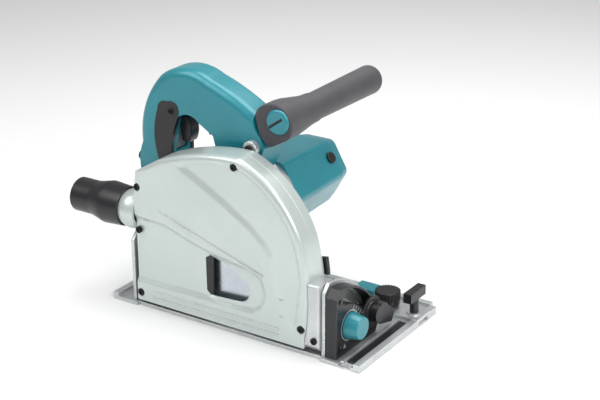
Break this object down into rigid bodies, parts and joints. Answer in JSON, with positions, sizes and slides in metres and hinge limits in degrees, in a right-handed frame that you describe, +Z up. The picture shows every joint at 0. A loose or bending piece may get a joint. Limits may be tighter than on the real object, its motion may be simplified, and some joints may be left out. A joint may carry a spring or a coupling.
{
  "type": "track plunge saw",
  "caption": "Corded plunge-cut circular saw for guide rails, with tilting blade case on a cast base, pivoting motor unit, D-handle and front grip.",
  "frame": {"origin": "middle of the base's footprint, on the flat sole", "axes": "+X is the cutting direction, +Y is the machine's left (away from the blade), +Z is up"},
  "size_m": [0.351, 0.2233, 0.2504],
  "materials": {
    "cast_aluminium": "satin, die-cast",
    "painted_cover": "satin silver paint",
    "teal_plastic": "glass-filled nylon, satin gloss",
    "dark_grip": "fine matt texture",
    "black_plastic": "satin black",
    "bright_steel": "brushed",
    "dark_steel": "black oxide",
    "blade_steel": "ground",
    "copper": "copper winding",
    "grey_plastic": "matt grey"
  },
  "bodies": {
    "root": {"base_plate": "cast_aluminium", "front_insert": "black_plastic", "front_quadrant": "cast_aluminium", "bevel_cover": "black_plastic", "rear_quadrant": "cast_aluminium", "bevel_cover_screws": "dark_steel"},
    "rail_cam_front": {"rail_knob_front": "black_plastic"},
    "rail_cam_rear": {"rail_knob_rear": "black_plastic"},
    "wing_front": {"wing_screw_front": "black_plastic"},
    "wing_rear": {"wing_screw_rear": "black_plastic"},
    "bevel_stop": {"bevel_stop_knob": "teal_plastic"},
    "anti_tip": {"anti_tip_lever": "teal_plastic"},
    "head": {"blade_cover": "painted_cover", "cover_screws": "dark_steel", "blade_case": "cast_aluminium", "front_bracket": "cast_aluminium", "rear_bracket": "cast_aluminium", "dust_outlet": "cast_aluminium", "pivot_pin": "bright_steel", "plunge_spring": "dark_steel", "depth_scale": "bright_steel"},
    "clamp_front": {"clamp_lever_front": "black_plastic"},
    "clamp_rear": {"clamp_lever_rear": "black_plastic"},
    "nozzle": {"dust_nozzle": "black_plastic"},
    "stop_slider": {"depth_stop": "black_plastic"},
    "motor_unit": {"gear_housing": "teal_plastic", "bearing_plate": "bright_steel", "motor_housing": "teal_plastic", "motor_end_cover": "teal_plastic", "stator": "dark_steel", "brush_caps": "black_plastic", "carbon_brushes": "dark_steel", "spindle_bearings": "bright_steel", "armature_bearings": "bright_steel", "palm_pad_right": "dark_grip", "handle_right": "teal_plastic", "palm_pad_left": "dark_grip", "handle_left": "teal_plastic", "switch_body": "black_plastic", "grip_collar": "dark_grip", "front_grip": "dark_grip", "grip_screw_cap": "teal_plastic", "handle_lug": "cast_aluminium", "lug_screw": "dark_steel", "handle_screws": "dark_steel", "cord_gland": "grey_plastic"},
    "switch_trigger": {"trigger": "black_plastic"},
    "lock_off": {"lock_off_lever": "teal_plastic"},
    "speed_wheel": {"speed_dial": "black_plastic"},
    "spindle_lock": {"spindle_lock_button": "black_plastic"},
    "blade_shaft": {"saw_blade": "blade_steel", "inner_flange": "bright_steel", "outer_flange": "bright_steel", "spindle": "bright_steel", "blade_bolt": "dark_steel", "drive_gear": "bright_steel"},
    "armature": {"armature_shaft": "bright_steel", "armature_core": "copper", "commutator": "copper", "cooling_fan": "black_plastic"}
  },
  "joints": [
    {"name": "bevel_tilt", "type": "hinge", "parent": "root", "child": "head", "pos_m": [0, -0.07, 0], "axis": [1, 0, 0], "range_deg": [-1, 48]},
    {"name": "plunge", "type": "hinge", "parent": "head", "child": "motor_unit", "pos_m": [-0.104, -0.045, 0.06], "axis": [0, 1, 0], "range_deg": [0, 36.3], "stiffness_Nm_per_rad": 3, "springref_deg": -91.67},
    {"name": "blade_spin", "type": "hinge", "parent": "motor_unit", "child": "blade_shaft", "pos_m": [-0.004, -0.069, 0.092], "axis": [0, 1, 0], "continuous": true},
    {"name": "armature_spin", "type": "hinge", "parent": "motor_unit", "child": "armature", "pos_m": [-0.008, 0, 0.12324], "axis": [0, 1, 0], "continuous": true},
    {"name": "trigger_pull", "type": "hinge", "parent": "motor_unit", "child": "switch_trigger", "pos_m": [-0.094, -0.022, 0.196], "axis": [0, 1, 0], "range_deg": [0, 8], "stiffness_Nm_per_rad": 0.3, "springref_deg": -17.19},
    {"name": "lock_off_press", "type": "hinge", "parent": "motor_unit", "child": "lock_off", "pos_m": [-0.037, -0.022, 0.186], "axis": [0, 1, 0], "range_deg": [0, 8], "stiffness_Nm_per_rad": 0.1, "springref_deg": -17.19},
    {"name": "speed_set", "type": "hinge", "parent": "motor_unit", "child": "speed_wheel", "pos_m": [-0.008, 0.097, 0.14225], "axis": [0, 1, 0], "range_deg": [0, 270]},
    {"name": "spindle_lock_push", "type": "slide", "parent": "motor_unit", "child": "spindle_lock", "axis": [-1, 0, 0], "range_m": [0, 0.0022], "stiffness_N_per_m": 200, "springref_m": -0.004},
    {"name": "depth_set", "type": "hinge", "parent": "head", "child": "stop_slider", "pos_m": [-0.104, -0.045, 0.06], "axis": [0, 1, 0], "range_deg": [-12, 17]},
    {"name": "nozzle_turn", "type": "hinge", "parent": "head", "child": "nozzle", "pos_m": [-0.15, -0.064, 0.1015], "axis": [1, 0, 0], "continuous": true},
    {"name": "clamp_front_turn", "type": "hinge", "parent": "head", "child": "clamp_front", "pos_m": [0.13, -0.01234, 0.03001], "axis": [1, 0, 0], "range_deg": [-5, 40]},
    {"name": "clamp_rear_turn", "type": "hinge", "parent": "head", "child": "clamp_rear", "pos_m": [-0.13, -0.01234, 0.03001], "axis": [1, 0, 0], "range_deg": [-5, 40]},
    {"name": "bevel_stop_turn", "type": "hinge", "parent": "root", "child": "bevel_stop", "pos_m": [0.13, -0.052, 0.032], "axis": [1, 0, 0], "range_deg": [0, 90]},
    {"name": "rail_cam_front_turn", "type": "hinge", "parent": "root", "child": "rail_cam_front", "pos_m": [0.108, 0.045, 0.015], "axis": [0, 0, 1], "range_deg": [-90, 90]},
    {"name": "rail_cam_rear_turn", "type": "hinge", "parent": "root", "child": "rail_cam_rear", "pos_m": [-0.108, 0.045, 0.015], "axis": [0, 0, 1], "range_deg": [-90, 90]},
    {"name": "wing_front_turn", "type": "hinge", "parent": "root", "child": "wing_front", "pos_m": [0.139, 0.045, 0.02], "axis": [0, 0, 1], "range_deg": [-180, 180]},
    {"name": "wing_rear_turn", "type": "hinge", "parent": "root", "child": "wing_rear", "pos_m": [-0.139, 0.045, 0.02], "axis": [0, 0, 1], "range_deg": [-180, 180]},
    {"name": "anti_tip_slide", "type": "slide", "parent": "root", "child": "anti_tip", "axis": [1, 0, 0], "range_m": [0, 0.008]}
  ],
  "couplings": [
    {"joint": "armature_spin", "follows": "blade_spin", "ratio": -2.15}
  ]
}
